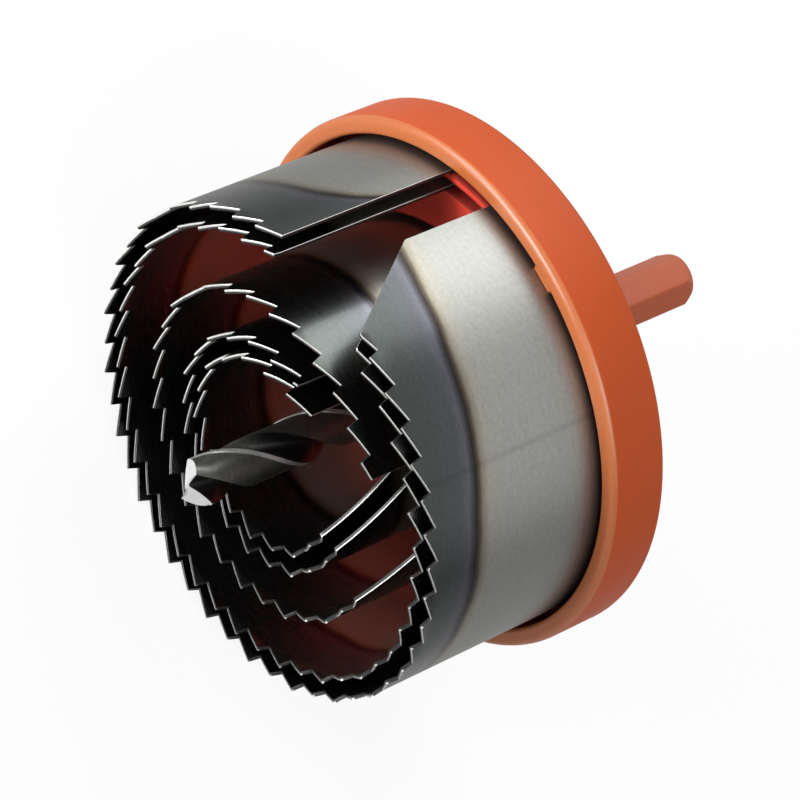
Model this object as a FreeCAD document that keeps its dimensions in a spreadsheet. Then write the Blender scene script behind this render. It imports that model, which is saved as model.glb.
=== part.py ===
import FreeCAD, Part
import math
import os
import Sketcher

# A hole saw with five nested ring blades in one cast holder, a pilot drill and a hex shank.
# All sizes are millimetres. Every piece is built about its own Z axis: Z = 0 is the rear face
# of the holder's disc and +Z points to the teeth. One shared placement then lays the whole
# tool on its side, where it rests on the rim and the teeth with its heavier side down.

SIZES = {
    "rim_radius": 34.0,
    "lip_top": 8.0,
    "lip_round": 1.0,
    "back_round": 0.5,
    "land_top": 7.1,
    "groove_floor": 3.1,
    "groove_out": 0.7,
    "groove_in": 0.1,
    "hub_radius": 10.0,
    "hub_length": 12.0,
    "hub_round": 1.5,
    "body_radius": 6.0,
    "body_rear": 13.0,
    "shank_flats": 6.35,
    "shank_rear": 33.8,
    "shank_end_radius": 3.0,
    "shank_end_length": 1.2,
    "drill_radius": 3.0,
    "drill_rear": 10.0,
    "drill_tip": 43.9,
    "drill_point_angle": 118.0,
    "flute_radius": 3.0,
    "flute_centre": 4.0,
    "flute_start": 12.0,
    "flute_height": 36.0,
    "flute_pitch": 28.0,
    "bore_gap": 0.05,
    "screw_radius": 2.5,
    "screw_length": 6.0,
    "screw_height": 6.0,
    "screw_socket": 2.5,
    "screw_socket_depth": 2.5,
    "blade_thick": 0.5,
    "tooth_tip": 33.4,
    "tooth_pitch": 4.31,
    "tooth_height": 1.5,
    "tooth_lean": 0.45,
    "lead_length": 9.2,
    "lead_height": 13.4,
    "rib_width": 3.6,
}

# Each blade: outer diameter, angle of its trailing end, gap between its ends in degrees,
# and the distance along the blade from the trailing end to the first tooth tip.
BLADES = {
    "blade_62": {"diameter": 62.0, "trailing": 75.9, "gap": 13.5, "first_tip": 3.35},
    "blade_57": {"diameter": 57.0, "trailing": 76.4, "gap": 14.2, "first_tip": 1.2},
    "blade_42": {"diameter": 42.0, "trailing": 10.0, "gap": 26.1, "first_tip": 2.4},
    "blade_30": {"diameter": 30.0, "trailing": 53.1, "gap": 54.8, "first_tip": 0.6},
    "blade_25": {"diameter": 25.0, "trailing": 39.8, "gap": 35.5, "first_tip": 3.6},
}

ROLL = 52.5
HEX_TURN = 13.9
RIB_TURN = 41.8

doc = FreeCAD.newDocument("hole_saw")
sheet = doc.addObject("Spreadsheet::Sheet", "sizes")
cells = dict(SIZES)
for blade_name, blade in BLADES.items():
    cells[blade_name + "_diameter"] = blade["diameter"]
    cells[blade_name + "_gap"] = blade["gap"]
for row, (word, value) in enumerate(cells.items(), start=1):
    sheet.set("A%d" % row, word)
    sheet.set("B%d" % row, str(value))
    sheet.setAlias("B%d" % row, word)
doc.recompute()


def size(word):
    """Number held by the sheet under this word."""
    return float(sheet.get(word))


def new_body(name):
    body = doc.addObject("PartDesign::Body", name)
    body.Label = name
    return body


def new_sketch(body, name, plane, turn=0.0, height=None):
    """Sketch on one of the body's own planes, turned about the body's Z axis.

    height is an expression for the distance of the sketch along its own normal.
    """
    sketch = body.newObject("Sketcher::SketchObject", name)
    base = [item for item in body.Origin.OriginFeatures if item.Role == plane][0]
    sketch.AttachmentSupport = [(base, "")]
    sketch.MapMode = "FlatFace"
    up = FreeCAD.Vector(0, 0, 1) if plane == "XY_Plane" else FreeCAD.Vector(0, 1, 0)
    sketch.AttachmentOffset = FreeCAD.Placement(FreeCAD.Vector(), FreeCAD.Rotation(up, turn))
    if height is not None:
        sketch.setExpression("AttachmentOffset.Base.z", height)
    doc.recompute()
    return sketch


def tie(sketch, axis, index, which, text):
    """Bind one coordinate of a sketch point to an expression of the sheet."""
    value = float(sketch.evalExpression(text))
    if abs(value) < 1e-9:
        line = -2 if axis == "DistanceX" else -1
        sketch.addConstraint(Sketcher.Constraint("PointOnObject", index, which, line))
        return
    if value > 0:
        rule = Sketcher.Constraint(axis, -1, 1, index, which, value)
        formula = text
    else:
        rule = Sketcher.Constraint(axis, index, which, -1, 1, -value)
        formula = "-(%s)" % text
    place = sketch.addConstraint(rule)
    sketch.setExpression("Constraints[%d]" % place, formula)


def polygon(sketch, corners):
    """Closed outline through corners given as pairs of expressions."""
    points = []
    for x_text, y_text in corners:
        x_value = float(sketch.evalExpression(x_text))
        y_value = float(sketch.evalExpression(y_text))
        points.append(FreeCAD.Vector(x_value, y_value, 0))
    count = len(points)
    first = sketch.GeometryCount
    for number in range(count):
        edge = Part.LineSegment(points[number], points[(number + 1) % count])
        sketch.addGeometry(edge, False)
    for number in range(count):
        after = first + (number + 1) % count
        sketch.addConstraint(Sketcher.Constraint("Coincident", first + number, 2, after, 1))
    for number, (x_text, y_text) in enumerate(corners):
        tie(sketch, "DistanceX", first + number, 1, x_text)
        tie(sketch, "DistanceY", first + number, 1, y_text)


def circle(sketch, x_text, y_text, radius_text):
    """Circle bound by expressions for its centre and radius."""
    x_value = float(sketch.evalExpression(x_text))
    y_value = float(sketch.evalExpression(y_text))
    radius = float(sketch.evalExpression(radius_text))
    centre = FreeCAD.Vector(x_value, y_value, 0)
    index = sketch.addGeometry(Part.Circle(centre, FreeCAD.Vector(0, 0, 1), radius), False)
    if abs(x_value) < 1e-9 and abs(y_value) < 1e-9:
        sketch.addConstraint(Sketcher.Constraint("Coincident", index, 3, -1, 1))
    else:
        tie(sketch, "DistanceX", index, 3, x_text)
        tie(sketch, "DistanceY", index, 3, y_text)
    place = sketch.addConstraint(Sketcher.Constraint("Radius", index, radius))
    sketch.setExpression("Constraints[%d]" % place, radius_text)


def hexagon(sketch, flats_text):
    """Regular hexagon about the origin with a corner on the sketch's X axis."""
    corner = float(sketch.evalExpression(flats_text)) / math.sqrt(3.0)
    points = []
    for number in range(6):
        angle = math.radians(60.0 * number)
        points.append(FreeCAD.Vector(corner * math.cos(angle), corner * math.sin(angle), 0))
    for number in range(6):
        sketch.addGeometry(Part.LineSegment(points[number], points[(number + 1) % 6]), False)
    guide = Part.Circle(FreeCAD.Vector(), FreeCAD.Vector(0, 0, 1), corner)
    round_index = sketch.addGeometry(guide, True)
    sketch.addConstraint(Sketcher.Constraint("Coincident", round_index, 3, -1, 1))
    for number in range(6):
        sketch.addConstraint(Sketcher.Constraint("Coincident", number, 2, (number + 1) % 6, 1))
        sketch.addConstraint(Sketcher.Constraint("PointOnObject", number, 1, round_index))
    for number in range(5):
        sketch.addConstraint(Sketcher.Constraint("Equal", number, number + 1))
    sketch.addConstraint(Sketcher.Constraint("PointOnObject", 0, 1, -1))
    place = sketch.addConstraint(Sketcher.Constraint("Radius", round_index, corner))
    sketch.setExpression("Constraints[%d]" % place, "(%s) / sqrt(3)" % flats_text)


def spin(body, kind, name, sketch):
    """Revolution or Groove of a sketch about the body's Z axis."""
    feature = body.newObject(kind, name)
    feature.Profile = sketch
    feature.ReferenceAxis = (sketch, ["V_Axis"])
    feature.Angle = 360.0
    doc.recompute()
    return feature


def raise_pad(body, name, sketch, length_text, reverse=False):
    pad = body.newObject("PartDesign::Pad", name)
    pad.Profile = sketch
    pad.setExpression("Length", length_text)
    pad.Reversed = reverse
    doc.recompute()
    return pad


def cut_pocket(body, name, sketch, length_text, reverse=False):
    """Pocket of given length. It stops the build when it takes nothing away."""
    before = body.Shape.Volume
    pocket = body.newObject("PartDesign::Pocket", name)
    pocket.Profile = sketch
    pocket.setExpression("Length", length_text)
    pocket.Reversed = reverse
    doc.recompute()
    if not pocket.Shape.Volume < before - 1e-6:
        raise ValueError("pocket %s takes nothing away" % name)
    return pocket


def round_edges(body, kind, name, base, radius, height, size_text):
    """Fillet or Chamfer on the circular edges of one radius and height."""
    chosen = []
    for number, edge in enumerate(base.Shape.Edges, start=1):
        ring = edge.Curve
        if not isinstance(ring, Part.Circle):
            continue
        if abs(ring.Radius - radius) < 1e-6 and abs(ring.Center.z - height) < 1e-6:
            chosen.append("Edge%d" % number)
    feature = body.newObject(kind, name)
    feature.Base = (base, chosen)
    word = "Radius" if kind.endswith("Fillet") else "Size"
    feature.setExpression(word, size_text)
    doc.recompute()
    return feature


# Shared placement. The round of the lip and the lowest tooth of the largest blade touch the
# floor z = 0, and the middle of the whole tool's length is over the origin.
edge_radius = size("rim_radius") - size("lip_round")
edge_height = size("lip_top") - size("lip_round")
drop = edge_radius - size("blade_62_diameter") / 2.0
reach = size("tooth_tip") - edge_height
tilt = math.atan2(drop, reach) + math.asin(size("lip_round") / math.hypot(drop, reach))
rest_z = edge_radius * math.cos(tilt) + edge_height * math.sin(tilt) + size("lip_round")
front = size("drill_tip") * math.cos(tilt)
rear = size("shank_rear") * math.cos(tilt) + size("shank_end_radius") * math.sin(tilt)
lying = FreeCAD.Placement(
    FreeCAD.Vector(0, 0.5 * (front - rear), rest_z),
    FreeCAD.Rotation(FreeCAD.Vector(1, 0, 0), 90.0 + math.degrees(tilt)),
)


def turned(angle):
    """Shared placement after the roll to rest and a further turn about the tool's axis."""
    spin_only = FreeCAD.Rotation(FreeCAD.Vector(0, 0, 1), ROLL + angle)
    return lying.multiply(FreeCAD.Placement(FreeCAD.Vector(), spin_only))


# Holder: a cast disc with a low lip, a rear hub and one ring groove for each blade.
holder = new_body("holder")
outline = new_sketch(holder, "holder_outline", "XZ_Plane")
lip_inner = "sizes.blade_62_diameter / 2 + sizes.groove_out"
polygon(outline, [
    ("sizes.body_radius", "-sizes.hub_length"),
    ("sizes.hub_radius", "-sizes.hub_length"),
    ("sizes.hub_radius", "0"),
    ("sizes.rim_radius", "0"),
    ("sizes.rim_radius", "sizes.lip_top"),
    (lip_inner, "sizes.lip_top"),
    (lip_inner, "sizes.land_top"),
    ("sizes.body_radius", "sizes.land_top"),
])
disc = spin(holder, "PartDesign::Revolution", "holder_disc", outline)
disc = round_edges(holder, "PartDesign::Fillet", "lip_fillet", disc,
                   size("rim_radius"), size("lip_top"), "sizes.lip_round")
disc = round_edges(holder, "PartDesign::Fillet", "back_fillet", disc,
                   size("rim_radius"), 0.0, "sizes.back_round")
disc = round_edges(holder, "PartDesign::Fillet", "hub_fillet", disc,
                   size("hub_radius"), 0.0, "sizes.hub_round")
disc = round_edges(holder, "PartDesign::Chamfer", "hub_chamfer", disc,
                   size("hub_radius"), -size("hub_length"), "sizes.back_round")
rings = new_sketch(holder, "ring_grooves", "XZ_Plane")
for blade_name in BLADES:
    outer = "sizes.%s_diameter / 2 + sizes.groove_out" % blade_name
    inner = "sizes.%s_diameter / 2 - sizes.blade_thick - sizes.groove_in" % blade_name
    polygon(rings, [
        (inner, "sizes.groove_floor"),
        (outer, "sizes.groove_floor"),
        (outer, "sizes.land_top + 0.5"),
        (inner, "sizes.land_top + 0.5"),
    ])
spin(holder, "PartDesign::Groove", "ring_cut", rings)
rib_sketch = new_sketch(holder, "rib_outline", "XY_Plane", RIB_TURN, "sizes.groove_floor - 0.5")
polygon(rib_sketch, [
    ("sizes.blade_62_diameter / 2 + 0.02", "-sizes.rib_width / 2"),
    ("sizes.blade_62_diameter / 2 + 1.2", "-sizes.rib_width / 2"),
    ("sizes.blade_62_diameter / 2 + 1.2", "sizes.rib_width / 2"),
    ("sizes.blade_62_diameter / 2 + 0.02", "sizes.rib_width / 2"),
])
raise_pad(holder, "rib", rib_sketch, "sizes.lip_top - sizes.groove_floor + 0.3")
tap = new_sketch(holder, "screw_hole_outline", "YZ_Plane", HEX_TURN)
circle(tap, "0", "-sizes.screw_height", "sizes.screw_radius + sizes.bore_gap")
cut_pocket(holder, "screw_hole", tap, "sizes.hub_radius + 1", True)
holder.Placement = turned(0.0)

# Arbor: round body pressed in the holder, hex shank behind it, bore for the drill in front.
arbor = new_body("arbor")
arbor_outline = new_sketch(arbor, "arbor_outline", "XZ_Plane")
bore = "sizes.drill_radius + sizes.bore_gap"
polygon(arbor_outline, [
    ("0", "-sizes.body_rear"),
    ("sizes.body_radius", "-sizes.body_rear"),
    ("sizes.body_radius", "sizes.land_top"),
    (bore, "sizes.land_top"),
    (bore, "-sizes.drill_rear"),
    ("0", "-sizes.drill_rear"),
])
spin(arbor, "PartDesign::Revolution", "arbor_body", arbor_outline)
hex_sketch = new_sketch(arbor, "shank_outline", "XY_Plane", 0.0, "-sizes.body_rear")
hexagon(hex_sketch, "sizes.shank_flats")
raise_pad(arbor, "shank", hex_sketch, "sizes.shank_rear - sizes.body_rear", True)
end_sketch = new_sketch(arbor, "shank_end_outline", "XZ_Plane")
polygon(end_sketch, [
    ("sizes.shank_end_radius", "-sizes.shank_rear"),
    ("sizes.shank_flats", "-sizes.shank_rear"),
    ("sizes.shank_flats", "-sizes.shank_rear + sizes.shank_end_length"
     " * (sizes.shank_flats - sizes.shank_end_radius)"
     " / (sizes.shank_flats / sqrt(3) - sizes.shank_end_radius)"),
])
spin(arbor, "PartDesign::Groove", "shank_end", end_sketch)
cross = new_sketch(arbor, "cross_hole_outline", "YZ_Plane")
circle(cross, "0", "-sizes.screw_height", "sizes.screw_radius + 2 * sizes.bore_gap")
cut_pocket(arbor, "cross_hole", cross, "sizes.body_radius + 1", True)
arbor.Placement = turned(HEX_TURN)

# Pilot drill with two right-hand flutes and a cone point.
drill = new_body("pilot_drill")
drill_sketch = new_sketch(drill, "drill_outline", "XZ_Plane")
cone = "sizes.drill_radius / tan(sizes.drill_point_angle / 2 * 1deg)"
polygon(drill_sketch, [
    ("0", "-sizes.drill_rear"),
    ("sizes.drill_radius", "-sizes.drill_rear"),
    ("sizes.drill_radius", "sizes.drill_tip - " + cone),
    ("0", "sizes.drill_tip"),
])
spin(drill, "PartDesign::Revolution", "drill_rod", drill_sketch)
flute_sketch = new_sketch(drill, "flute_outline", "XZ_Plane")
circle(flute_sketch, "sizes.flute_centre", "sizes.flute_start", "sizes.flute_radius")
flute = drill.newObject("PartDesign::SubtractiveHelix", "flute")
flute.Profile = flute_sketch
flute.ReferenceAxis = (flute_sketch, ["V_Axis"])
flute.Mode = 0
flute.setExpression("Pitch", "sizes.flute_pitch")
flute.setExpression("Height", "sizes.flute_height")
doc.recompute()
flutes = drill.newObject("PartDesign::PolarPattern", "flutes")
flutes.Originals = [flute]
flutes.Axis = (flute_sketch, ["V_Axis"])
flutes.Angle = 360.0
flutes.Occurrences = 2
drill.Tip = flutes
doc.recompute()
drill.Placement = turned(0.0)

# Socket set screw that presses on the drill through the hub.
screw = new_body("set_screw")
screw_sketch = new_sketch(screw, "screw_outline", "XY_Plane")
circle(screw_sketch, "0", "0", "sizes.screw_radius")
raise_pad(screw, "screw_rod", screw_sketch, "sizes.screw_length")
socket_sketch = new_sketch(screw, "socket_outline", "XY_Plane", 0.0, "sizes.screw_length")
hexagon(socket_sketch, "sizes.screw_socket")
cut_pocket(screw, "socket", socket_sketch, "sizes.screw_socket_depth")
outward = FreeCAD.Placement(
    FreeCAD.Vector(size("drill_radius"), 0, -size("screw_height")),
    FreeCAD.Rotation(FreeCAD.Vector(0, 1, 0), 90.0),
)
screw.Placement = turned(HEX_TURN).multiply(outward)


def ring_blade(name, blade):
    """Split ring of strip steel with saw teeth and a sloped leading end.

    The trailing end lies on the body's X axis and the strip runs counter-clockwise from it.
    """
    body = new_body(name)
    radius = size(name + "_diameter") / 2.0
    span = 360.0 - size(name + "_gap")
    strip = new_sketch(body, name + "_strip", "XY_Plane", 0.0, "sizes.groove_floor")
    outer_text = "sizes.%s_diameter / 2" % name
    inner_text = outer_text + " - sizes.blade_thick"
    inner = radius - size("blade_thick")
    centre = FreeCAD.Vector()
    normal = FreeCAD.Vector(0, 0, 1)
    end = math.radians(span)
    for arc_radius in (radius, inner):
        whole = Part.Circle(centre, normal, arc_radius)
        strip.addGeometry(Part.ArcOfCircle(whole, 0.0, end), False)
    far = FreeCAD.Vector(math.cos(end), math.sin(end), 0)
    strip.addGeometry(Part.LineSegment(FreeCAD.Vector(inner, 0, 0), FreeCAD.Vector(radius, 0, 0)), False)
    strip.addGeometry(Part.LineSegment(far * radius, far * inner), False)
    for arc in (0, 1):
        strip.addConstraint(Sketcher.Constraint("Coincident", arc, 3, -1, 1))
    strip.addConstraint(Sketcher.Constraint("Coincident", 2, 1, 1, 1))
    strip.addConstraint(Sketcher.Constraint("Coincident", 2, 2, 0, 1))
    strip.addConstraint(Sketcher.Constraint("Coincident", 3, 1, 0, 2))
    strip.addConstraint(Sketcher.Constraint("Coincident", 3, 2, 1, 2))
    strip.addConstraint(Sketcher.Constraint("PointOnObject", 0, 1, -1))
    strip.addConstraint(Sketcher.Constraint("PointOnObject", 1, 1, -1))
    strip.addConstraint(Sketcher.Constraint("PointOnObject", -1, 1, 3))
    for arc, text in ((0, outer_text), (1, inner_text)):
        place = strip.addConstraint(Sketcher.Constraint("Radius", arc, (radius, inner)[arc]))
        strip.setExpression("Constraints[%d]" % place, text)
    place = strip.addConstraint(Sketcher.Constraint("Angle", 0, end))
    strip.setExpression("Constraints[%d]" % place, "(360 - sizes.%s_gap) * 1deg" % name)
    raise_pad(body, name + "_ring", strip, "sizes.tooth_tip - sizes.groove_floor")

    # The sloped leading end, cut through the wall near the end of the strip.
    per_mm = math.degrees(1.0 / radius)
    lead = new_sketch(body, name + "_lead", "XZ_Plane",
                      span + 90.0 - 0.5 * size("lead_length") * per_mm)
    polygon(lead, [
        ("-sizes.lead_length / 2", "sizes.tooth_tip"),
        ("sizes.lead_length / 2", "sizes.tooth_tip - sizes.lead_height"),
        ("sizes.lead_length / 2 + 1.5", "sizes.tooth_tip - sizes.lead_height"),
        ("sizes.lead_length / 2 + 1.5", "sizes.tooth_tip + 1"),
        ("-sizes.lead_length / 2", "sizes.tooth_tip + 1"),
    ])
    cut_pocket(body, name + "_lead_cut", lead, outer_text + " + 1", True)

    # One gullet between two teeth, repeated along the strip.
    first = blade["first_tip"] - 0.5 * size("tooth_pitch")
    length = math.radians(span) * radius - size("lead_length")
    count = int(math.ceil((length - blade["first_tip"]) / size("tooth_pitch"))) + 1
    gullet = new_sketch(body, name + "_gullet", "XZ_Plane", first * per_mm + 90.0)
    polygon(gullet, [
        ("-sizes.tooth_pitch / 2", "sizes.tooth_tip"),
        ("-sizes.tooth_pitch / 2 + sizes.tooth_lean", "sizes.tooth_tip - sizes.tooth_height"),
        ("sizes.tooth_pitch / 2", "sizes.tooth_tip"),
        ("sizes.tooth_pitch / 2", "sizes.tooth_tip + 1"),
        ("-sizes.tooth_pitch / 2", "sizes.tooth_tip + 1"),
    ])
    notch = cut_pocket(body, name + "_notch", gullet, outer_text + " + 1", True)
    row = body.newObject("PartDesign::PolarPattern", name + "_teeth")
    row.Originals = [notch]
    row.Axis = (gullet, ["V_Axis"])
    row.Angle = (count - 1) * size("tooth_pitch") * per_mm
    row.Occurrences = count
    body.Tip = row
    doc.recompute()
    body.Placement = turned(blade["trailing"])
    return body


pieces = [holder, arbor, drill, screw]
for blade_name, blade in BLADES.items():
    pieces.append(ring_blade(blade_name, blade))

doc.recompute()
for item in doc.Objects:
    if "Invalid" in item.State or "Error" in item.State:
        raise ValueError("object %s did not build" % item.Name)

os.makedirs("parts", exist_ok=True)
for piece in pieces:
    shape = piece.Shape
    if shape.isNull() or not shape.isValid():
        raise ValueError("piece %s has no valid shape" % piece.Label)
    shape.exportStep("parts/%s.step" % piece.Label)
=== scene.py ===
import math
from collections import namedtuple

import bmesh
import bpy
from mathutils import Matrix, Vector


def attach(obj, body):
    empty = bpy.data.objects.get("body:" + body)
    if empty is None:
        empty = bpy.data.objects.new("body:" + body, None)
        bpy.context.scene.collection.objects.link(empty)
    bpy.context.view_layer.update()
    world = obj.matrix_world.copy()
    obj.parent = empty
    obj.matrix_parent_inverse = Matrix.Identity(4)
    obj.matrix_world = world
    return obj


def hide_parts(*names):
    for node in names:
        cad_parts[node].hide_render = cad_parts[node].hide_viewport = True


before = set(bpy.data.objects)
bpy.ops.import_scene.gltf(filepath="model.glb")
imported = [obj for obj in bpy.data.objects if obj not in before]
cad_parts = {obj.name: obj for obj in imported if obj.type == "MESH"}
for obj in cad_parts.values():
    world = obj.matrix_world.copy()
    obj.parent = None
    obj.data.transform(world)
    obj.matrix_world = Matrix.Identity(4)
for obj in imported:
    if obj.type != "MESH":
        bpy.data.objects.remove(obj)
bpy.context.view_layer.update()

# Every piece is built in the tool's own frame in millimetres: Z = 0 is the rear face of the
# holder's disc and +Z points to the teeth. TOOL lays the tool on its side and turns it to metres.
MM = 0.001
ROLL = math.radians(52.5)
HEX_TURN = math.radians(13.9)
RIB_TURN = math.radians(41.8)
WHITE = (1.0, 1.0, 1.0, 1.0)

# Holder.
RIM_RADIUS = 34.0
LIP_TOP = 8.0
LIP_ROUND = 1.0
LIP_FRONT = 0.65
BACK_ROUND = 0.5
LAND_TOP = 7.1
GROOVE_FLOOR = 3.1
GROOVE_OUT = 0.7
GROOVE_IN = 0.1
# Painted shade: the grooves and a band this wide beside each one are enamelled darker.
GROOVE_SHADOW = 0.3
EDGE_ROUND = 0.18
HUB_RADIUS = 10.0
HUB_LENGTH = 12.0
HUB_ROUND = 1.5
RIB_WIDTH = 3.6
RIB_INNER = 31.02
RIB_OUTER = 32.2
RIB_EDGE = 0.2

# Arbor.
BODY_RADIUS = 6.0
BODY_REAR = 13.0
BODY_CHAMFER = 0.3
BODY_EDGE = 0.25
BODY_GAP = 0.01
BORE_RADIUS = 3.05
BORE_START = 0.4
SHANK_FLATS = 6.35
SHANK_REAR = 33.8
SHANK_END_RADIUS = 3.0
SHANK_END_LENGTH = 1.2
SHANK_CORNER = 0.35
CORNER_STEPS = 6
FLAT_STEPS = 8

# Pilot drill and the screw that clamps it.
DRILL_RADIUS = 3.0
DRILL_CLEAR = 2.86
DRILL_WEB = 0.45
DRILL_TIP = 43.9
DRILL_REAR = 10.0
DRILL_PITCH = 28.0
DRILL_HEEL = math.radians(-96.0)
DRILL_MARGIN = math.radians(13.0)
MARGIN_STEP = math.radians(1.0)
DRILL_POINT = math.radians(59.0)
DRILL_RELIEF = math.radians(12.0)
DRILL_PHASE = math.radians(150.0)
WEB_POINT = 0.55
FLUTE_LOW = 9.5
FLUTE_FULL = 15.0
POINT_LENGTH = 2.6
POINT_GAP = 0.03
SCREW_HEIGHT = 6.0
SCREW_HOLE = 2.55

# Blades.
BLADE_THICK = 0.5
TOOTH_TIP = 33.4
TOOTH_PITCH = 4.31
TOOTH_HEIGHT = 1.5
TOOTH_LEAN = 0.45
TOOTH_SET = 0.2
TOOTH_ROOT = TOOTH_TIP - TOOTH_HEIGHT
LEAD_LENGTH = 9.2
LEAD_HEIGHT = 13.4
CUT_EDGE = 0.05
# Widths of the painted highlight along the cut tops and along the sloped leading end.
CUT_BRIGHT = 0.23
SLOPE_BRIGHT = 0.12
TIP_SHARE = 0.16
CREASE_FROM_LEAD = 27.8

# Each blade: diameter, angle of its trailing end and gap in degrees, and the distance along it
# from the trailing end to the first tooth tip.
Blade = namedtuple("Blade", "diameter trailing gap first_tip")
BLADES = {
    "blade_62": Blade(62.0, 75.9, 13.5, 3.35),
    "blade_57": Blade(57.0, 76.4, 14.2, 1.2),
    "blade_42": Blade(42.0, 10.0, 26.1, 2.4),
    "blade_30": Blade(30.0, 53.1, 54.8, 0.6),
    "blade_25": Blade(25.0, 39.8, 35.5, 3.6),
}
LARGEST_RADIUS = BLADES["blade_62"].diameter / 2

# The round of the lip and the lowest tooth of the largest blade touch the floor.
EDGE_RADIUS = RIM_RADIUS - LIP_ROUND
EDGE_HEIGHT = LIP_TOP - LIP_ROUND
DROP = EDGE_RADIUS - LARGEST_RADIUS
REACH = TOOTH_TIP - EDGE_HEIGHT
TILT = math.atan2(DROP, REACH) + math.asin(LIP_ROUND / math.hypot(DROP, REACH))
FRONT = DRILL_TIP * math.cos(TILT)
REAR = SHANK_REAR * math.cos(TILT) + SHANK_END_RADIUS * math.sin(TILT)
REST_Y = 0.5 * (FRONT - REAR)
REST_Z = EDGE_RADIUS * math.cos(TILT) + EDGE_HEIGHT * math.sin(TILT) + LIP_ROUND
TOOL = (
    Matrix.Translation((0, REST_Y * MM, REST_Z * MM))
    @ Matrix.Rotation(math.radians(90.0) + TILT, 4, "X")
    @ Matrix.Rotation(ROLL, 4, "Z")
)


# Shader helpers.

def add_node(tree, kind, inputs=None, **settings):
    """Node with its settings, and its inputs linked or set."""
    node = tree.nodes.new(kind)
    for key, value in settings.items():
        setattr(node, key, value)
    for key, value in (inputs or {}).items():
        set_input(tree, node.inputs[key], value)
    return node


def set_input(tree, socket, value):
    if hasattr(value, "is_output"):
        tree.links.new(value, socket)
    else:
        socket.default_value = value


class Shader:
    """Small wrapper that adds nodes to one material."""

    def __init__(self, name):
        self.material = bpy.data.materials.new(name)
        self.material.use_nodes = True
        self.tree = self.material.node_tree
        self.tree.nodes.clear()

    def add(self, kind, inputs=None, **settings):
        return add_node(self.tree, kind, inputs, **settings)

    def math(self, operation, first, second=0.0, third=0.0, clamp=False):
        node = self.add("ShaderNodeMath", {0: first, 1: second, 2: third}, operation=operation)
        node.use_clamp = clamp
        return node.outputs[0]

    def ramp(self, factor, stops):
        node = self.add("ShaderNodeValToRGB", {"Fac": factor})
        node.color_ramp.interpolation = "LINEAR"
        elements = node.color_ramp.elements
        while len(elements) < len(stops):
            elements.new(0.5)
        for element, (place, colour) in zip(elements, stops):
            element.position = place
            element.color = colour
        return node.outputs["Color"]

    def mix(self, factor, first, second, blend="MIX"):
        node = self.add("ShaderNodeMix", data_type="RGBA", blend_type=blend)
        for number, value in ((0, factor), (6, first), (7, second)):
            set_input(self.tree, node.inputs[number], value)
        return node.outputs[2]

    def noise(self, vector, scale, detail=2.0, roughness=0.5):
        node = self.add("ShaderNodeTexNoise", {"Vector": vector, "Scale": scale, "Detail": detail,
                                               "Roughness": roughness})
        return node.outputs["Fac"]

    def stretched(self, vector, along, across, depth):
        """Vector scaled by a different amount on each axis."""
        node = self.add("ShaderNodeVectorMath", {0: vector, 1: (along, across, depth)},
                        operation="MULTIPLY")
        return node.outputs[0]

    def bump(self, height, strength, distance):
        inputs = {"Height": height, "Strength": strength, "Distance": distance}
        return self.add("ShaderNodeBump", inputs).outputs["Normal"]

    def finish(self, **inputs):
        """Principled surface as the output."""
        surface = self.add("ShaderNodeBsdfPrincipled")
        for key, value in inputs.items():
            set_input(self.tree, surface.inputs[key.replace("_", " ")], value)
        self.add("ShaderNodeOutputMaterial", {"Surface": surface.outputs["BSDF"]})
        return self.material


def scaled(shade, factor):
    """Darker copy of a colour, opaque."""
    return tuple(factor * v for v in shade[:3]) + (1.0,)


def orange_enamel(name, shade, rough_low, gloss):
    """Satin enamel over a casting: faint orange peel and slow changes of depth."""
    shader = Shader(name)
    place = shader.add("ShaderNodeTexCoord").outputs["Object"]
    cloud = shader.noise(place, 60.0, 3.0)
    speck = shader.noise(place, 900.0, 2.0)
    base = shader.mix(cloud, scaled(shade, 0.9), shade)
    colour = shader.mix(shader.math("MULTIPLY", speck, 0.14), base, scaled(shade, 0.6))
    rough = shader.math("MULTIPLY_ADD", shader.noise(place, 220.0, 3.0), 0.16, rough_low)
    peel = shader.noise(place, 700.0, 2.0)
    normal = shader.bump(peel, 0.25, 0.0001)
    return shader.finish(Base_Color=colour, Roughness=rough, Normal=normal,
                         Specular_IOR_Level=gloss)


# Colour of the strip by its distance in mm past the tint line, from the teeth to bare metal.
TINT_REACH = 12.0
TINTS = (
    (-12.0, (0.058, 0.066, 0.061)),
    (-6.0, (0.062, 0.069, 0.067)),
    (-2.6, (0.072, 0.077, 0.081)),
    (-1.4, (0.092, 0.094, 0.108)),
    (-0.8, (0.052, 0.048, 0.054)),
    (-0.3, (0.026, 0.022, 0.021)),
    (0.2, (0.075, 0.062, 0.045)),
    (0.7, (0.210, 0.190, 0.150)),
    (1.6, (0.285, 0.275, 0.238)),
    (3.4, (0.278, 0.285, 0.262)),
    (12.0, (0.276, 0.285, 0.266)),
)


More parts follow.
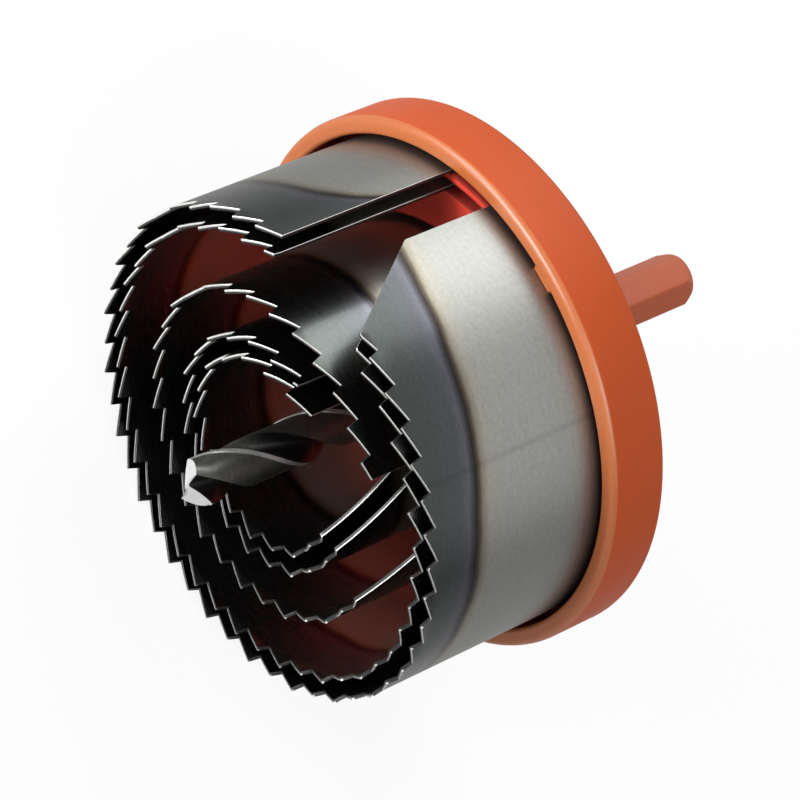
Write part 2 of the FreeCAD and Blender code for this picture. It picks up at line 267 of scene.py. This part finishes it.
def strip_steel(name, crease, light_gain):
    """Strip steel whose toothed edge was hardened: blue-black to brown to bare metal.

    The strip attribute holds the distance along the strip, the distance from the tooth tips
    and the distance from the tooth tips to the tint line, in millimetres.
    """
    shader = Shader(name)
    strip = shader.add("ShaderNodeAttribute", attribute_name="strip").outputs["Vector"]
    parts = shader.add("ShaderNodeSeparateXYZ", {0: strip})
    along, down, line = parts.outputs[0], parts.outputs[1], parts.outputs[2]
    wander = shader.noise(shader.stretched(strip, 0.08, 0.10, 0.0), 1.0, 2.0)
    wobble = shader.math("MULTIPLY_ADD", wander, 1.6, -0.8)
    past = shader.math("SUBTRACT", shader.math("ADD", down, wobble), line)
    place = shader.math("MULTIPLY_ADD", past, 0.5 / TINT_REACH, 0.5, clamp=True)
    tint = shader.ramp(place, [(0.5 + 0.5 * mm / TINT_REACH, shade + (1.0,))
                               for mm, shade in TINTS])
    grain = shader.noise(shader.stretched(strip, 0.25, 7.0, 0.0), 1.0, 4.0, 0.65)
    mottle = shader.noise(shader.stretched(strip, 1.6, 1.9, 0.0), 1.0, 4.0, 0.7)
    # The gain brightens the steel as a painted reflection and glint.
    shade = shader.math("MULTIPLY_ADD", grain, 0.44 * light_gain, 0.78 * light_gain)
    shade = shader.math("MULTIPLY", shade, shader.math("MULTIPLY_ADD", mottle, 0.5, 0.75))
    # A darker line along the crease of the largest blade: painted shade of the fold in the strip.
    if crease is not None:
        away = shader.math("ABSOLUTE", shader.math("SUBTRACT", along, crease))
        crease_shade = shader.math("SMOOTH_MIN", shader.math("MULTIPLY", away, 1.6), 1.0, 0.4)
        shade = shader.math("MULTIPLY", shade, shader.math("MULTIPLY_ADD", crease_shade, 0.16, 0.84))
    grey = shader.add("ShaderNodeCombineColor", {0: shade, 1: shade, 2: shade}).outputs[0]
    colour = shader.mix(1.0, tint, grey, "MULTIPLY")
    bare = shader.add("ShaderNodeMapRange", {"Value": past, "From Min": -0.5, "From Max": 2.0,
                                             "To Min": 0.20, "To Max": 0.33}).outputs["Result"]
    rough = shader.math("MULTIPLY_ADD", grain, 0.14, bare)
    normal = shader.bump(grain, 0.12, 0.00004)
    return shader.finish(Base_Color=colour, Metallic=1.0, Roughness=rough, Normal=normal)


def cut_steel(name, dark, bright):
    """Bare metal of the punched and ground edges, in a bright copy that carries a painted highlight
    and a dark copy that carries painted shade.
    """
    shader = Shader(name)
    place = shader.add("ShaderNodeTexCoord").outputs["Object"]
    scratch = shader.noise(place, 2600.0, 3.0, 0.7)
    shade = shader.mix(scratch, dark, bright)
    rough = shader.math("MULTIPLY_ADD", scratch, 0.2, 0.25)
    normal = shader.bump(scratch, 0.25, 0.00005)
    return shader.finish(Base_Color=shade, Metallic=0.75, Roughness=rough, Normal=normal)


def drill_steel(name, dark, bright, rough_low):
    """Ground or oxidised tool steel with fine lines across."""
    shader = Shader(name)
    place = shader.add("ShaderNodeTexCoord").outputs["Object"]
    lines = shader.noise(shader.stretched(place, 1.0, 6.0, 1.0), 700.0, 4.0, 0.65)
    colour = shader.mix(lines, dark, bright)
    rough = shader.math("MULTIPLY_ADD", lines, 0.2, rough_low)
    normal = shader.bump(lines, 0.15, 0.00005)
    return shader.finish(Base_Color=colour, Metallic=1.0, Roughness=rough, Normal=normal)


ENAMEL = orange_enamel("orange_enamel", (0.52, 0.084, 0.021, 1.0), 0.38, 0.14)
# Glossier enamel on the lip, its colour paler and yellower than the rim's: a painted highlight.
LIP_GLOSS_HIGHLIGHT_ENAMEL = orange_enamel("lip_enamel_painted_highlight", (0.47, 0.122, 0.030, 1.0), 0.27, 0.7)
# Brighter, redder enamel on the front face between the grooves: a painted glow of light bounced
# inside the rings.
LAND_GLOW_ENAMEL = orange_enamel("land_enamel_painted_glow", (0.66, 0.052, 0.030, 1.0), 0.36, 0.25)
# Dark enamel in the grooves and in thin bands beside them: painted shade.
GROOVE_SHADE_ENAMEL = orange_enamel("groove_enamel_painted_shade", (0.24, 0.022, 0.015, 1.0), 0.5, 0.1)
SHANK_ENAMEL = orange_enamel("shank_enamel", (0.48, 0.105, 0.040, 1.0), 0.34, 0.3)
# Cut edges: bare metal lightened as a painted highlight, and the same metal darkened as painted
# shade.
CUT = cut_steel("cut_edge_steel_painted_highlight", (0.50, 0.50, 0.48, 1.0), (0.90, 0.90, 0.87, 1.0))
SHADED_CUT_STEEL = cut_steel("cut_edge_painted_shade", (0.03, 0.03, 0.03, 1.0), (0.08, 0.078, 0.075, 1.0))
LAND_STEEL = drill_steel("drill_land_steel", (0.14, 0.14, 0.13, 1), (0.34, 0.34, 0.32, 1), 0.25)
FLUTE_STEEL = drill_steel("drill_flute_steel", (0.03, 0.03, 0.03, 1), (0.09, 0.09, 0.085, 1), 0.28)
POINT_STEEL = drill_steel("drill_point_steel", (0.85, 0.85, 0.84, 1), (0.98, 0.98, 0.97, 1), 0.42)
MARGIN_STEEL = drill_steel("drill_margin_steel", (0.45, 0.45, 0.44, 1), (0.75, 0.75, 0.73, 1), 0.36)
SCREW_STEEL = drill_steel("black_oxide_steel", (0.02, 0.02, 0.022, 1), (0.06, 0.06, 0.065, 1), 0.3)


# Mesh helpers.

def make_piece(name, points, faces, materials, face_slots=None, sharp=30.0):
    """Mesh object from points in the tool frame in millimetres, laid in place."""
    mesh = bpy.data.meshes.new(name)
    mesh.from_pydata([TOOL @ (Vector(point) * MM) for point in points], [], faces)
    for material in materials:
        mesh.materials.append(material)
    if face_slots is not None:
        mesh.polygons.foreach_set("material_index", face_slots)
    settle(mesh, sharp)
    piece = bpy.data.objects.new(name, mesh)
    bpy.context.scene.collection.objects.link(piece)
    return piece


def settle(mesh, sharp):
    """Outward normals, smooth faces and sharp edges above an angle in degrees."""
    shape = bmesh.new()
    shape.from_mesh(mesh)
    bmesh.ops.recalc_face_normals(shape, faces=shape.faces)
    limit = math.radians(sharp)
    for edge in shape.edges:
        edge.smooth = len(edge.link_faces) == 2 and edge.calc_face_angle(0.0) < limit
    for face in shape.faces:
        face.smooth = True
    shape.to_mesh(mesh)
    shape.free()


def turned(x, y, angle):
    """Point turned about the axis."""
    return (x * math.cos(angle) - y * math.sin(angle), x * math.sin(angle) + y * math.cos(angle))


def skin(levels, count):
    """Faces between closed rings of count points that follow one another."""
    faces = []
    for level in range(levels - 1):
        for number in range(count):
            after = (number + 1) % count
            faces.append((level * count + number, level * count + after,
                          (level + 1) * count + after, (level + 1) * count + number))
    return faces


def dress(piece, replaced=None):
    """Tie a piece to the tool's only body, and hide the imported part that it stands in for."""
    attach(piece, "root")
    if replaced:
        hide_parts(replaced)


def arc(centre, radius, start, end, steps):
    """Points of an arc in a plane, its angles in degrees."""
    points = []
    for step in range(steps + 1):
        angle = math.radians(start + (end - start) * step / steps)
        points.append((centre[0] + radius * math.cos(angle), centre[1] + radius * math.sin(angle)))
    return points


def revolve(name, outline, steps, materials, sharp=30.0, pick=None):
    """Closed outline of radius and height turned about the tool's axis.

    pick gives the material slot of a face from the middle of its edge of the outline.
    """
    points = []
    faces = []
    slots = []
    count = len(outline)
    for step in range(steps):
        angle = 2.0 * math.pi * step / steps
        for radius, height in outline:
            points.append((radius * math.cos(angle), radius * math.sin(angle), height))
    for step in range(steps):
        here = step * count
        there = ((step + 1) % steps) * count
        for number in range(count):
            after = (number + 1) % count
            faces.append((here + number, there + number, there + after, here + after))
            radius = 0.5 * (outline[number][0] + outline[after][0])
            height = 0.5 * (outline[number][1] + outline[after][1])
            slots.append(pick(radius, height) if pick else 0)
    return make_piece(name, points, faces, materials, slots, sharp)


def cut_away(piece, cutter):
    """Boolean difference, applied to the piece's mesh. The cutter is removed."""
    modifier = piece.modifiers.new("cut", "BOOLEAN")
    modifier.operation = "DIFFERENCE"
    modifier.solver = "EXACT"
    modifier.object = cutter
    graph = bpy.context.evaluated_depsgraph_get()
    mesh = bpy.data.meshes.new_from_object(piece.evaluated_get(graph))
    piece.modifiers.clear()
    piece.data = mesh
    bpy.data.objects.remove(cutter)
    settle(mesh, 30.0)


# Holder: one casting with a rim, a low lip, a ring groove for each blade and a rear hub.
HOLDER_MATERIALS = [ENAMEL, LIP_GLOSS_HIGHLIGHT_ENAMEL, LAND_GLOW_ENAMEL, GROOVE_SHADE_ENAMEL]


def make_rib():
    """Short rib on the lip's inner wall, against the outside of the largest blade."""
    low, high = GROOVE_FLOOR - 0.4, LIP_TOP - 0.2
    profile = [(RIB_INNER, low), (RIB_INNER, high - RIB_EDGE), (RIB_INNER + RIB_EDGE, high),
               (RIB_OUTER, high), (RIB_OUTER, low)]
    half = RIB_WIDTH / 2
    rows = (-half, -half + RIB_EDGE, half - RIB_EDGE, half)
    points = []
    for across in rows:
        inset = RIB_EDGE if abs(across) == half else 0.0
        for number, (reach, height) in enumerate(profile):
            moved = reach + inset if number < 3 else reach
            lowered = height - inset if number in (2, 3) else height
            points.append(turned(moved, across, RIB_TURN) + (lowered,))
    count = len(profile)
    faces = skin(len(rows), count)
    faces.append(tuple(range(count)))
    faces.append(tuple(range(len(points) - 1, len(points) - 1 - count, -1)))
    # The rib takes the lip's glossier enamel with its painted highlight.
    rib = make_piece("holder_rib", points, faces, [LIP_GLOSS_HIGHLIGHT_ENAMEL])
    dress(rib)


def groove_walls(blade):
    """Radius of the outer and the inner wall of a blade's groove."""
    radius = blade.diameter / 2
    return radius + GROOVE_OUT, radius - BLADE_THICK - GROOVE_IN


def holder_shade(radius, height):
    """Slot of the enamel: a glossier lip painted paler as a highlight, painted shade in and beside
    the grooves, and a front face painted redder as bounced glow.
    """
    # The lip's top and round get the glossier enamel, painted paler as a highlight.
    if radius > LARGEST_RADIUS and height > LIP_TOP - LIP_FRONT:
        return HOLDER_MATERIALS.index(LIP_GLOSS_HIGHLIGHT_ENAMEL)
    if radius > RIM_RADIUS - 2 * LIP_ROUND or height < GROOVE_FLOOR - 0.1:
        return HOLDER_MATERIALS.index(ENAMEL)
    # Grooves and the bands beside them get painted shade.
    for blade in BLADES.values():
        outer, inner = groove_walls(blade)
        if inner - GROOVE_SHADOW < radius < outer + GROOVE_SHADOW:
            return HOLDER_MATERIALS.index(GROOVE_SHADE_ENAMEL)
    # The rest of the front face is painted redder as bounced glow.
    return HOLDER_MATERIALS.index(LAND_GLOW_ENAMEL)


def holder_outline():
    """Closed outline from the hub's rear over the rim and the grooves to the bore."""
    outline = [(BODY_RADIUS, -HUB_LENGTH)]
    outline += [(HUB_RADIUS - BACK_ROUND, -HUB_LENGTH), (HUB_RADIUS, -HUB_LENGTH + BACK_ROUND)]
    outline += arc((HUB_RADIUS + HUB_ROUND, -HUB_ROUND), HUB_ROUND, 180, 90, 8)
    outline += arc((RIM_RADIUS - BACK_ROUND, BACK_ROUND), BACK_ROUND, -90, 0, 5)
    outline += arc((RIM_RADIUS - LIP_ROUND, LIP_TOP - LIP_ROUND), LIP_ROUND, 0, 90, 10)
    # The extra points GROOVE_SHADOW beside each groove bound its band of painted shade.
    for blade in BLADES.values():
        outer, inner = groove_walls(blade)
        if blade is BLADES["blade_62"]:
            half = LIP_ROUND / 2
            outline += arc((outer + half, LIP_TOP - half), half, 90, 180, 5)
            outline.append((outer, LAND_TOP))
        else:
            outline.append((outer + GROOVE_SHADOW, LAND_TOP))
            outline += arc((outer + EDGE_ROUND, LAND_TOP - EDGE_ROUND), EDGE_ROUND, 90, 180, 3)
        outline += [(outer, GROOVE_FLOOR), (inner, GROOVE_FLOOR)]
        outline += arc((inner - EDGE_ROUND, LAND_TOP - EDGE_ROUND), EDGE_ROUND, 0, 90, 3)
        outline.append((inner - GROOVE_SHADOW, LAND_TOP))
    outline.append((BODY_RADIUS, LAND_TOP))
    return outline


def screw_hole_cutter():
    """Rod through one side of the hub."""
    steps = 48
    points = []
    for depth in (BODY_RADIUS - 1.0, HUB_RADIUS + 2.0):
        for step in range(steps):
            angle = 2 * math.pi * step / steps
            x, y = turned(depth, SCREW_HOLE * math.cos(angle), HEX_TURN)
            points.append((x, y, SCREW_HOLE * math.sin(angle) - SCREW_HEIGHT))
    faces = skin(2, steps)
    faces += [tuple(range(steps)), tuple(range(2 * steps - 1, steps - 1, -1))]
    return make_piece("hole_cutter", points, faces, [])


def make_holder():
    holder = revolve("holder_casting", holder_outline(), 360, HOLDER_MATERIALS, pick=holder_shade)
    cutter = screw_hole_cutter()
    bpy.context.view_layer.update()
    cut_away(holder, cutter)
    dress(holder, "holder")


make_holder()
make_rib()


# Arbor: round body in the holder's bore and the hex shank behind it.

def hexagon_outline():
    """Hexagon with rounded corners about the axis, with points along its flats."""
    reach = (SHANK_FLATS / 2 - SHANK_CORNER) / math.cos(math.radians(30))
    corners = []
    for side in range(6):
        middle = 60.0 * side
        centre = turned(reach, 0.0, math.radians(middle))
        corners += arc(centre, SHANK_CORNER, middle - 30.0, middle + 30.0, CORNER_STEPS)
    points = []
    for number, (x, y) in enumerate(corners):
        points.append((x, y))
        if number % (CORNER_STEPS + 1) == CORNER_STEPS:
            end_x, end_y = corners[(number + 1) % len(corners)]
            for part in range(1, FLAT_STEPS):
                share = part / FLAT_STEPS
                points.append((x + (end_x - x) * share, y + (end_y - y) * share))
    return points


def make_shank():
    """Hex shank whose end is chamfered by a cone."""
    outline = hexagon_outline()
    cone = (SHANK_FLATS / math.sqrt(3) - SHANK_END_RADIUS) / SHANK_END_LENGTH
    heights = [-BODY_REAR + 0.5, -BODY_REAR - 1.0, -BODY_REAR - 8.0]
    heights += [-SHANK_REAR + SHANK_END_LENGTH * step / 12 for step in range(12, -1, -1)]
    points = []
    for height in heights:
        limit = SHANK_END_RADIUS + cone * (height + SHANK_REAR)
        for x, y in outline:
            scale = min(1.0, limit / math.hypot(x, y))
            points.append(turned(x * scale, y * scale, HEX_TURN) + (height,))
    count = len(outline)
    faces = skin(len(heights), count)
    faces.append(tuple(range(len(points) - count, len(points))))
    shank = make_piece("hex_shank", points, faces, [SHANK_ENAMEL], sharp=20.0)
    dress(shank)


def make_body():
    wall = BODY_RADIUS - BODY_GAP
    outline = [
        (BORE_START, -BODY_REAR),
        (BODY_RADIUS - BODY_CHAMFER, -BODY_REAR),
        (wall, -BODY_REAR + BODY_CHAMFER),
        (wall, LAND_TOP - BODY_EDGE),
        (BODY_RADIUS - BODY_EDGE, LAND_TOP),
        (BORE_RADIUS + BODY_EDGE, LAND_TOP),
        (BORE_RADIUS, LAND_TOP - BODY_EDGE),
        (BORE_RADIUS, -DRILL_REAR),
        (BORE_START, -DRILL_REAR),
    ]
    body = revolve("arbor_body", outline, 96, [SHANK_ENAMEL])
    dress(body, "arbor")


make_shank()
make_body()


# Pilot drill: two right-hand flutes, narrow margins and a two-facet point.
DRILL_MATERIALS = [LAND_STEEL, FLUTE_STEEL, POINT_STEEL, MARGIN_STEEL]
LAND, FLUTE, POINT, MARGIN = range(4)


def curve_point(corners, share):
    """Point of a cubic curve through four control points."""
    rest = 1.0 - share
    weights = (rest ** 3, 3 * rest ** 2 * share, 3 * rest * share ** 2, share ** 3)
    return (sum(weight * corner[0] for weight, corner in zip(weights, corners)),
            sum(weight * corner[1] for weight, corner in zip(weights, corners)))


def drill_section():
    """Drill's section, counter-clockwise from a heel: x, y and the slot of the edge after it."""
    margin_end = math.asin(DRILL_WEB / DRILL_RADIUS)
    margin_start = margin_end - DRILL_MARGIN
    half = []
    for step in range(9):
        angle = DRILL_HEEL + (margin_start - DRILL_HEEL) * step / 8
        half.append((DRILL_CLEAR * math.cos(angle), DRILL_CLEAR * math.sin(angle), LAND))
    margin_start += MARGIN_STEP
    for step in range(4):
        angle = margin_start + (margin_end - margin_start) * step / 3
        slot = MARGIN if step < 3 else FLUTE
        half.append((DRILL_RADIUS * math.cos(angle), DRILL_RADIUS * math.sin(angle), slot))
    tip_x = DRILL_RADIUS * math.cos(margin_end)
    for step in range(1, 6):
        half.append((tip_x + (WEB_POINT - tip_x) * step / 5, DRILL_WEB, FLUTE))
    next_heel = turned(DRILL_CLEAR, 0.0, DRILL_HEEL + math.pi)
    corners = ((WEB_POINT, DRILL_WEB), (-0.2, DRILL_WEB), (-0.42, 1.45), next_heel)
    for step in range(1, 9):
        half.append(curve_point(corners, step / 9) + (FLUTE,))
    return half + [(-x, -y, slot) for x, y, slot in half]


def flank_height(x, y):
    """Height of the two-facet point over a section point, in the lip's own frame."""
    drop = 1.0 / math.tan(DRILL_POINT)
    relief = math.tan(DRILL_RELIEF)
    one = -drop * x + relief * (y - DRILL_WEB)
    two = drop * x - relief * (y + DRILL_WEB)
    return DRILL_TIP - POINT_GAP + min(one, two) + relief * DRILL_WEB


def on_helix(x, y, height):
    """Section point at a height, turned with the flutes."""
    angle = DRILL_PHASE + 2.0 * math.pi * (height - DRILL_TIP) / DRILL_PITCH
    return turned(x, y, angle) + (height,)


def on_point(x, y):
    """Point of the section moved up its helix until it meets the ground point."""
    height = DRILL_TIP - math.hypot(x, y) * 0.6
    for _ in range(12):
        there_x, there_y, _height = on_helix(x, y, height)
        facet = flank_height(*turned(there_x, there_y, -DRILL_PHASE))
        height = 0.5 * height + 0.5 * facet
    return on_helix(x, y, height)


def make_drill():
    section = drill_section()
    heights = [-DRILL_REAR, 6.0, 8.5]
    height = FLUTE_LOW
    while height < DRILL_TIP - POINT_LENGTH:
        heights.append(height)
        height += 0.5
    points = []
    for height in heights:
        blend = min(1.0, max(0.0, (height - FLUTE_LOW) / (FLUTE_FULL - FLUTE_LOW)))
        blend = blend * blend * (3 - 2 * blend)
        for x, y, slot in section:
            reach = math.hypot(x, y)
            scale = (DRILL_RADIUS + (reach - DRILL_RADIUS) * blend) / reach
            points.append(on_helix(x * scale, y * scale, height))
    rings = (1.0, 0.93, 0.8, 0.65, 0.5, 0.36, 0.24, 0.13, 0.05)
    for ring in rings:
        for x, y, slot in section:
            points.append(on_point(x * ring, y * ring))
    count = len(section)
    faces = skin(len(heights) + len(rings), count)
    slots = [slot for x, y, slot in section] * len(heights)
    slots += [POINT] * (len(faces) - len(slots))
    faces.append(tuple(range(len(points) - count, len(points))))
    slots.append(POINT)
    faces.append(tuple(range(count - 1, -1, -1)))
    slots.append(LAND)
    drill = make_piece("twist_drill", points, faces, DRILL_MATERIALS, slots, 28.0)
    dress(drill, "pilot_drill")


make_drill()

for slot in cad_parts["set_screw"].material_slots:
    slot.material = SCREW_STEEL


# Blades: split rings of strip steel with set saw teeth and a sloped leading end.

# How much brighter each blade's steel is painted than the largest blade's: painted reflection and
# glint.
PAINTED_LIGHT_GAIN = {"blade_62": 1.0, "blade_57": 1.6, "blade_42": 1.7, "blade_30": 1.2, "blade_25": 1.2}

# Distance from the tooth tips to the edge of the hardened zone on the inner blades.
PLAIN_TINT = {"blade_57": 9.0, "blade_42": 12.0, "blade_30": 10.0, "blade_25": 10.0}

# Slots of a blade: strip steel, cut edge with a painted highlight, cut edge with painted shade.
STRIP, BRIGHT, SHADED_CUT = range(3)
LOW_SHARES = (0.0, 0.12, 0.28, 0.44, 0.6, 0.74, 0.86, 0.95, 1.0)


def tint_line(name, along, length):
    """Distance from the tooth tips to the edge of the hardened zone.

    On the largest blade it falls steadily back from the leading end and rises again at the
    trailing end.
    """
    if name in PLAIN_TINT:
        return PLAIN_TINT[name]
    near_lead = 3.2 + 8.8 * math.exp(-(length - along) / 55.0)
    near_trail = 9.0 + 7.0 * math.exp(-along / 4.0)
    share = min(1.0, max(0.0, (along - 40.0) / 60.0))
    return near_trail + (near_lead - near_trail) * share


def blade_stations(first, count, lead_start, length):
    """Distances along the strip at which its outline bends or needs a point."""
    stations = {0.0, CUT_EDGE, length - CUT_EDGE, length, lead_start}
    for number in range(-1, count):
        tip = first + number * TOOTH_PITCH
        foot = tip + TOOTH_LEAN
        stations.update((tip, tip + TOOTH_LEAN * TIP_SHARE, tip + TOOTH_LEAN / 2, foot))
        stations.update(foot + (TOOTH_PITCH - TOOTH_LEAN) * part / 6 for part in range(1, 6))
    stations.update(lead_start + LEAD_LENGTH * part / 30 for part in range(1, 30))
    stations = sorted(x for x in stations if 0.0 <= x <= length)
    kept = [stations[0]]
    for station in stations[1:]:
        if station - kept[-1] > 0.02:
            kept.append(station)
    kept[-1] = length
    return kept


def tooth_edge(past_first):
    """Height of the teeth at a distance past the first tip, and the side that they lean to."""
    number = math.floor(past_first / TOOTH_PITCH + 1e-6)
    step = past_first - number * TOOTH_PITCH
    if step < TOOTH_LEAN + 1e-6:
        top = TOOTH_TIP - TOOTH_HEIGHT * step / TOOTH_LEAN
    else:
        top = TOOTH_TIP - TOOTH_HEIGHT * (TOOTH_PITCH - step) / (TOOTH_PITCH - TOOTH_LEAN)
        number += 1
    return top, -1 if number % 2 else 1


def strip_section(radius, top, inset, bright):
    """Radius and height of the strip's section, from its foot outside to its foot inside."""
    shoulder = min(top - CUT_EDGE - 0.03, TOOTH_ROOT - 0.1)
    heights = [GROOVE_FLOOR + (shoulder - GROOVE_FLOOR) * share for share in LOW_SHARES]
    heights += [shoulder + (top - CUT_EDGE - shoulder) * part / 3 for part in (1, 2, 3)]
    section = [(radius - inset, height) for height in heights]
    section.append((radius - CUT_EDGE - inset * 0.5, top))
    section.append((radius - bright, top))
    section.append((radius - BLADE_THICK + CUT_EDGE + inset * 0.5, top))
    section += [(radius - BLADE_THICK + inset, height) for height in reversed(heights)]
    return section


def make_blade(name, blade):
    radius = blade.diameter / 2
    first = blade.first_tip
    length = math.radians(360.0 - blade.gap) * radius
    lead_start = length - LEAD_LENGTH
    count = math.ceil((lead_start - first) / TOOTH_PITCH) + 1
    last_tip = first + (count - 1) * TOOTH_PITCH
    stations = blade_stations(first, count, lead_start, length)

    points = []
    marks = []
    for along in stations:
        top, side = TOOTH_TIP, 0
        if along < last_tip:
            top, side = tooth_edge(along - first)
        if along > lead_start:
            top = min(top, TOOTH_TIP - LEAD_HEIGHT * (along - lead_start) / LEAD_LENGTH)
            side = 0
        inset = CUT_EDGE if along in (stations[0], stations[-1]) else 0.0
        bright = SLOPE_BRIGHT if along > lead_start else CUT_BRIGHT
        angle = math.radians(blade.trailing) + along / radius
        for reach, height in strip_section(radius, top, inset, bright):
            lean = max(0.0, (height - TOOTH_ROOT) / TOOTH_HEIGHT)
            reach += TOOTH_SET * side * lean ** 1.2
            points.append((reach * math.cos(angle), reach * math.sin(angle), height))
            marks.append((along, TOOTH_TIP - height, tint_line(name, along, length)))

    ring = len(points) // len(stations)
    wall = (ring - 3) // 2
    # The outer part of each cut top and its chamfer get a painted highlight, but not on the steep
    # tooth faces; the inner part of the top, the inner chamfer, the steep faces and the end faces
    # get painted shade.
    slots = []
    for station in range(len(stations) - 1):
        at_end = station in (0, len(stations) - 2)
        middle = 0.5 * (stations[station] + stations[station + 1])
        step = (middle - first) % TOOTH_PITCH
        steep = TOOTH_LEAN * TIP_SHARE < step < TOOTH_LEAN and middle < last_tip
        for number in range(ring):
            if at_end and number < wall or (wall - 1 <= number <= wall and not steep):
                slots.append(BRIGHT)
            elif wall - 1 <= number <= wall + 2:
                slots.append(SHADED_CUT)
            else:
                slots.append(STRIP)
    faces = skin(len(stations), ring)
    faces.append(tuple(range(ring)))
    faces.append(tuple(range(len(points) - 1, len(points) - 1 - ring, -1)))
    slots += [SHADED_CUT, SHADED_CUT]

    crease = length - CREASE_FROM_LEAD if name == "blade_62" else None
    steel = strip_steel(name + "_strip_steel", crease, PAINTED_LIGHT_GAIN[name])
    strip = make_piece(name + "_strip", points, faces, [steel, CUT, SHADED_CUT_STEEL], slots, 25.0)
    layer = strip.data.attributes.new("strip", "FLOAT_VECTOR", "POINT")
    layer.data.foreach_set("vector", [value for mark in marks for value in mark])
    dress(strip, name)


for blade_name, blade in BLADES.items():
    make_blade(blade_name, blade)


# Camera at the photograph's place. Its place and aim are measured in the tool's own frame.
CAMERA_PLACE = Vector((336.343, 202.384, 266.855))
CAMERA_LOOK = Vector((-0.718184, -0.433240, -0.544532))
CAMERA_UP = Vector((-0.290493, 0.897754, -0.331137))
FOCAL_PIXELS = 3887.9
FRAME_PIXELS = 800.0

camera_data = bpy.data.cameras.new("camera")
camera = bpy.data.objects.new("camera", camera_data)
bpy.context.scene.collection.objects.link(camera)
camera_data.sensor_width = 36.0
camera_data.lens = FOCAL_PIXELS * camera_data.sensor_width / FRAME_PIXELS
camera_data.clip_start = 0.01
camera_data.clip_end = 50.0
look = TOOL.to_3x3() @ CAMERA_LOOK
upward = TOOL.to_3x3() @ CAMERA_UP
aim = Matrix((look.cross(upward), upward, -look)).transposed()
camera.matrix_world = Matrix.Translation(TOOL @ (CAMERA_PLACE * MM)) @ aim.to_4x4()
bpy.context.scene.camera = camera

# Directions of the lamps are given about the picture: X to the tool's side, Y to its shank,
# Z up in the picture.
PICTURE_TILT = math.radians(95.9)
PICTURE = TOOL.to_3x3() @ Matrix.Rotation(-PICTURE_TILT, 3, "X")


# Floor: plain white, and its shadow stays.
FLOOR_HALF = 4.0
FLOOR_GREY = 0.45
FLOOR_SEEN = 0.95
GLOW_SEEN = 0.85
GLOW_MIRRORED = 0.2


def floor_material():
    """White to the camera, and grey to the light that it gives the tool."""
    shader = Shader("studio_floor")
    glow = shader.add("ShaderNodeEmission", {"Color": WHITE, "Strength": 1.0}).outputs[0]
    path = shader.add("ShaderNodeLightPath").outputs
    seen = shader.math("MAXIMUM", path["Is Camera Ray"], path["Is Transmission Ray"])
    pale = shader.math("MULTIPLY_ADD", seen, FLOOR_SEEN - FLOOR_GREY, FLOOR_GREY)
    grey = shader.add("ShaderNodeCombineColor", {0: pale, 1: pale, 2: pale}).outputs[0]
    diffuse = shader.add("ShaderNodeBsdfDiffuse", {"Color": grey}).outputs[0]
    mirrored = shader.math("MULTIPLY", path["Is Glossy Ray"], GLOW_MIRRORED)
    share = shader.math("MULTIPLY_ADD", seen, GLOW_SEEN, mirrored)
    mixed = shader.add("ShaderNodeMixShader", {0: share, 1: diffuse, 2: glow}).outputs[0]
    shader.add("ShaderNodeOutputMaterial", {"Surface": mixed})
    return shader.material


floor_mesh = bpy.data.meshes.new("studio_floor")
floor_corners = [(x * FLOOR_HALF, y * FLOOR_HALF, 0)
                 for x, y in ((-1, -1), (1, -1), (1, 1), (-1, 1))]
floor_mesh.from_pydata(floor_corners, [], [(0, 1, 2, 3)])
floor_mesh.materials.append(floor_material())
floor = bpy.data.objects.new("studio_floor", floor_mesh)
bpy.context.scene.collection.objects.link(floor)


# World: white where the camera sees it. As light it is brightest above the picture, and weaker
# for light that isn't mirrored.
WORLD_LOW = 0.1
WORLD_WEAK = 0.36


def make_world():
    world = bpy.data.worlds.new("studio")
    bpy.context.scene.world = world
    world.use_nodes = True
    tree = world.node_tree
    tree.nodes.clear()
    above = PICTURE @ Vector((0.0, 0.0, 1.0))
    path = add_node(tree, "ShaderNodeLightPath").outputs
    place = add_node(tree, "ShaderNodeTexCoord").outputs["Generated"]
    height = add_node(tree, "ShaderNodeVectorMath", {0: place, 1: tuple(above)},
                      operation="DOT_PRODUCT").outputs["Value"]
    glow = add_node(tree, "ShaderNodeMapRange",
                    {"Value": height, "From Min": -0.85, "From Max": -0.3,
                     "To Min": WORLD_LOW, "To Max": 1.0},
                    interpolation_type="SMOOTHSTEP").outputs["Result"]
    weak = add_node(tree, "ShaderNodeMath", {0: glow, 1: WORLD_WEAK},
                    operation="MULTIPLY").outputs[0]
    light = add_node(tree, "ShaderNodeMix",
                     {0: path["Is Glossy Ray"], 2: weak, 3: glow}).outputs[0]
    seen = add_node(tree, "ShaderNodeMath",
                    {0: path["Is Camera Ray"], 1: path["Is Transmission Ray"]},
                    operation="MAXIMUM").outputs[0]
    strength = add_node(tree, "ShaderNodeMix", {0: seen, 2: light, 3: 1.0}).outputs[0]
    back = add_node(tree, "ShaderNodeBackground", {"Color": WHITE, "Strength": strength})
    add_node(tree, "ShaderNodeOutputWorld", {"Surface": back.outputs["Background"]})


make_world()


# Lamps.

def softbox(name, direction, distance, size, power):
    """Square area lamp that looks at the middle of the tool."""
    lamp_data = bpy.data.lights.new(name, "AREA")
    lamp_data.shape = "SQUARE"
    lamp_data.size = size
    lamp_data.energy = power
    lamp = bpy.data.objects.new(name, lamp_data)
    bpy.context.scene.collection.objects.link(lamp)
    middle = Vector((0, 0, REST_Z * MM))
    way = (PICTURE @ Vector(direction)).normalized()
    lamp.location = middle + way * distance
    lamp.rotation_euler = (-way).to_track_quat("-Z", "Y").to_euler()


softbox("top_softbox", (0.19, 0.46, 0.87), 0.6, 0.42, 1.6)
softbox("high_front_softbox", (-0.25, -0.64, 0.72), 0.6, 0.28, 1.9)
softbox("axial_softbox", (-0.10, -0.95, 0.28), 0.7, 0.3, 5.6)
softbox("side_softbox", (0.92, -0.35, 0.0), 0.7, 0.4, 2.0)

bpy.context.scene.view_settings.view_transform = "Standard"
